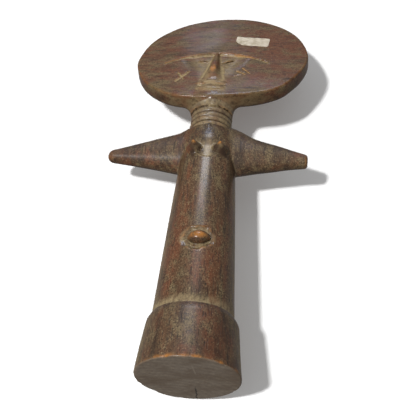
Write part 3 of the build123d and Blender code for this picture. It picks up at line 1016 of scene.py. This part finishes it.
# %% [markdown]
# ## The paper label
# A small oblong of cream paper is glued to the forehead. Its left corners have lifted with age. It is
# a thin sheet laid on the curved wood point by point, so that it follows the forehead where it holds
# and curls away where it does not. It carries no writing.

# %% Label sheet
LABEL_W, LABEL_H, LABEL_T = 25.5, 12.5, 0.25
LABEL_AT, LABEL_TILT = (21.0, 21.0), math.radians(-6)


def label_point(u, v, lift):
    """A place on the label: u across and v up from its middle, in millimetres."""
    a = LABEL_AT[0] + u * math.cos(LABEL_TILT) - v * math.sin(LABEL_TILT)
    b = LABEL_AT[1] + u * math.sin(LABEL_TILT) + v * math.cos(LABEL_TILT)
    c = np.array([-dome(a, b)])
    # six steps straight in or out bring it onto the wood
    for _ in range(6):
        c = c - head_block(np.array([a]), np.array([b]), c)
    corner = max(0.0, -u / LABEL_W * 2 - 0.55) * (0.3 + abs(v) / LABEL_H * 2)
    curl = 1.6 * corner**1.5 + 0.12 * math.sin(u * 0.55 + v) ** 2
    place = to_block(a, b, float(c[0]) + 0.05 + curl + lift)
    return [float(k) * MM for k in np.array(place).ravel()]


bm = bmesh.new()
cols, rows = 40, 20
layers = []
for lift in (0.0, LABEL_T):
    layer = []
    for i in range(cols + 1):
        for j in range(rows + 1):
            s, t = 2 * i / cols - 1, 2 * j / rows - 1
            # slightly torn, rounded outline
            pinch = 1 - 0.05 * max(0, abs(s) - 0.9) * 10 * max(0, abs(t) - 0.8) * 5
            ragged = 1 + 0.012 * math.sin(9 * s + 4 * t) * (abs(t) > 0.99)
            torn = 0.30 * max(0, -s) ** 2 * max(0, -t) ** 1.5
            u, v = s * pinch + torn, t * pinch * ragged + torn
            layer.append(bm.verts.new(label_point(u * LABEL_W / 2, v * LABEL_H / 2, lift)))
    layers.append(layer)
for i in range(cols):
    for j in range(rows):
        k = i * (rows + 1) + j
        corners = [k, k + rows + 1, k + rows + 2, k + 1]
        bm.faces.new([layers[1][m] for m in corners])
        bm.faces.new([layers[0][m] for m in reversed(corners)])
low_edge = [e for e in bm.edges if e.is_boundary]
bmesh.ops.bridge_loops(bm, edges=low_edge)
bmesh.ops.recalc_face_normals(bm, faces=bm.faces)
label_mesh = bpy.data.meshes.new("paper_label")
bm.to_mesh(label_mesh)
bm.free()
label_piece = set_in_scene("paper_label", label_mesh)
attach(label_piece, "root")
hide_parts("label")

# %% Paper material
paper = bpy.data.materials.new("label_paper_aged")
paper.use_nodes = True
tree = paper.node_tree
shader = tree.nodes["Principled BSDF"]
where = node(tree, "ShaderNodeTexCoord").outputs["Object"]
fibre = noise(tree, where, (1.0, 1.0, 1.0), 900.0, 4.0, 0.7)
stain = noise(tree, where, (1.0, 1.0, 1.0), 190.0, 3.0, 0.6)
sheet_colour = blend(tree, stain.ramp(0.38, 0.66), colour(0.58, 0.51, 0.39), colour(0.38, 0.31, 0.20))
sheet_colour = blend(tree, fibre.ramp(0.55, 0.75) * 0.35, sheet_colour, colour(0.36, 0.29, 0.20))
tree.links.new(sheet_colour, shader.inputs["Base Color"])
plug(tree, shader.inputs["Roughness"], 0.42 + fibre * 0.25)
paper_bump = node(tree, "ShaderNodeBump", Strength=0.4, Distance=0.0002, Height=fibre + stain)
tree.links.new(paper_bump.outputs[0], shader.inputs["Normal"])
label_mesh.materials.append(paper)

# %% [markdown]
# ## Floor, backdrop, light and camera
# The doll stands on a pale floor in front of a pale sheet that catches its shadow. The main view
# looks up at it from below floor level, so every sheet is clear from behind and casts no shadow. Three
# walls stand far off, to close the views from the side and from behind. The key lamp throws the
# shadow, the back lamp lights the doll from behind, and the other three only make highlights.

# %% Stage
def one_sided(name, tint, strength):
    """Matt paint with a little glow, clear when it is seen from behind."""
    material = bpy.data.materials.new(name)
    material.use_nodes = True
    tree = material.node_tree
    tree.nodes.clear()
    out = node(tree, "ShaderNodeOutputMaterial")
    matt = node(tree, "ShaderNodeBsdfDiffuse", Color=tint)
    glow = node(tree, "ShaderNodeEmission", Color=colour(1, 1, 1), Strength=strength)
    both = node(tree, "ShaderNodeAddShader", n0=matt.outputs[0], n1=glow.outputs[0])
    clear = node(tree, "ShaderNodeBsdfTransparent")
    side = node(tree, "ShaderNodeNewGeometry").outputs["Backfacing"]
    pick = node(tree, "ShaderNodeMixShader", n0=side, n1=both.outputs[0], n2=clear.outputs[0])
    tree.links.new(pick.outputs[0], out.inputs[0])
    return material


def sheet(name, corners, material):
    """A flat sheet of the stage that only the camera sees."""
    mesh = bpy.data.meshes.new(name)
    mesh.from_pydata(corners, [], [(0, 1, 2, 3)])
    mesh.materials.append(material)
    made = set_in_scene(name, mesh)
    made.visible_shadow = False
    made.visible_diffuse = False
    made.visible_glossy = False
    made.visible_transmission = False


BACK_Y = 0.0335
sheet("floor", [(-3, -3, -0.0005), (3, -3, -0.0005), (3, 3, -0.0005), (-3, 3, -0.0005)],
      one_sided("floor_paint", colour(0.82, 0.82, 0.82), 0.36))
sheet("backdrop", [(-3, BACK_Y, -1), (3, BACK_Y, -1), (3, BACK_Y, 3), (-3, BACK_Y, 3)],
      one_sided("backdrop_paint", colour(0.90, 0.90, 0.90), 0.09))
wall_paint = one_sided("wall_paint", colour(0.30, 0.30, 0.30), 0.72)
sheet("wall_left", [(-3, -3, 0), (-3, 3, 0), (-3, 3, 4), (-3, -3, 4)], wall_paint)
sheet("wall_right", [(3, 3, 0), (3, -3, 0), (3, -3, 4), (3, 3, 4)], wall_paint)
sheet("wall_front", [(3, -3, 0), (-3, -3, 0), (-3, -3, 4), (3, -3, 4)], wall_paint)

world = bpy.data.worlds.new("studio")
bpy.context.scene.world = world
world.use_nodes = True
surroundings = world.node_tree.nodes["Background"]
surroundings.inputs["Color"].default_value = colour(1.0, 1.0, 1.0)
surroundings.inputs["Strength"].default_value = 0.33


# %% Lights
def lamp(name, place, aim, width, height, watts, tint=(1, 1, 1)):
    """An oblong lamp at a place, turned to its aim, in metres and watts."""
    data = bpy.data.lights.new(name, "AREA")
    data.shape, data.size, data.size_y = "RECTANGLE", width, height
    data.energy, data.color = watts, tint
    made = set_in_scene(name, data)
    forward = np.array(aim, float) - np.array(place, float)
    forward /= np.linalg.norm(forward)
    side = np.cross(forward, (0, 0, 1))
    side /= np.linalg.norm(side)
    up = np.cross(side, forward)
    made.matrix_world = Matrix((
        (side[0], up[0], -forward[0], place[0]),
        (side[1], up[1], -forward[1], place[1]),
        (side[2], up[2], -forward[2], place[2]),
        (0, 0, 0, 1),
    ))
    return made


lamp("key", (-0.72, -1.66, -0.45), (0, 0, 0.15), 0.13, 0.13, 38.0)
window = lamp("window", (-0.08, -0.83, 0.95), (0, 0, 0.14), 0.38, 0.08, 5.4, (0.96, 0.98, 1.0))
sky = lamp("sky", (-0.13, -0.19, 1.15), (0, -0.02, 0.27), 0.06, 0.12, 0.15, (0.72, 0.80, 1.0))
sky_low = lamp("sky_low", (-0.08, -0.60, 1.15), (0, -0.02, 0.17), 0.30, 0.12, 2.6, (0.60, 0.72, 1.0))
lamp("back", (-0.08, 1.44, 1.60), (0, 0, 0.15), 0.3, 0.3, 20.0)
for shine in (window, sky, sky_low):
    shine.visible_diffuse = False

# %% Camera
SENSOR_MM, LENS_MM = 36.0, 68.3653846
camera_at = np.array([0.02419, -0.43426, -0.17313])
climb, swing, roll = 0.59329, -0.04885, 0.08950
flat = math.cos(climb)
forward = np.array([math.sin(swing) * flat, math.cos(swing) * flat, math.sin(climb)])
level = np.cross(forward, (0, 0, 1))
level /= np.linalg.norm(level)
upright = np.cross(level, forward)
right = math.cos(roll) * level + math.sin(roll) * upright
top = -math.sin(roll) * level + math.cos(roll) * upright
camera_data = bpy.data.cameras.new("camera")
camera_data.sensor_width = SENSOR_MM
camera_data.lens = LENS_MM
camera_data.clip_start, camera_data.clip_end = 0.01, 50
camera = set_in_scene("camera", camera_data)
turned = [[right[i], top[i], -forward[i], camera_at[i]] for i in range(3)]
camera.matrix_world = Matrix(turned + [[0, 0, 0, 1]])
bpy.context.scene.camera = camera
bpy.context.scene.view_settings.view_transform = "Standard"
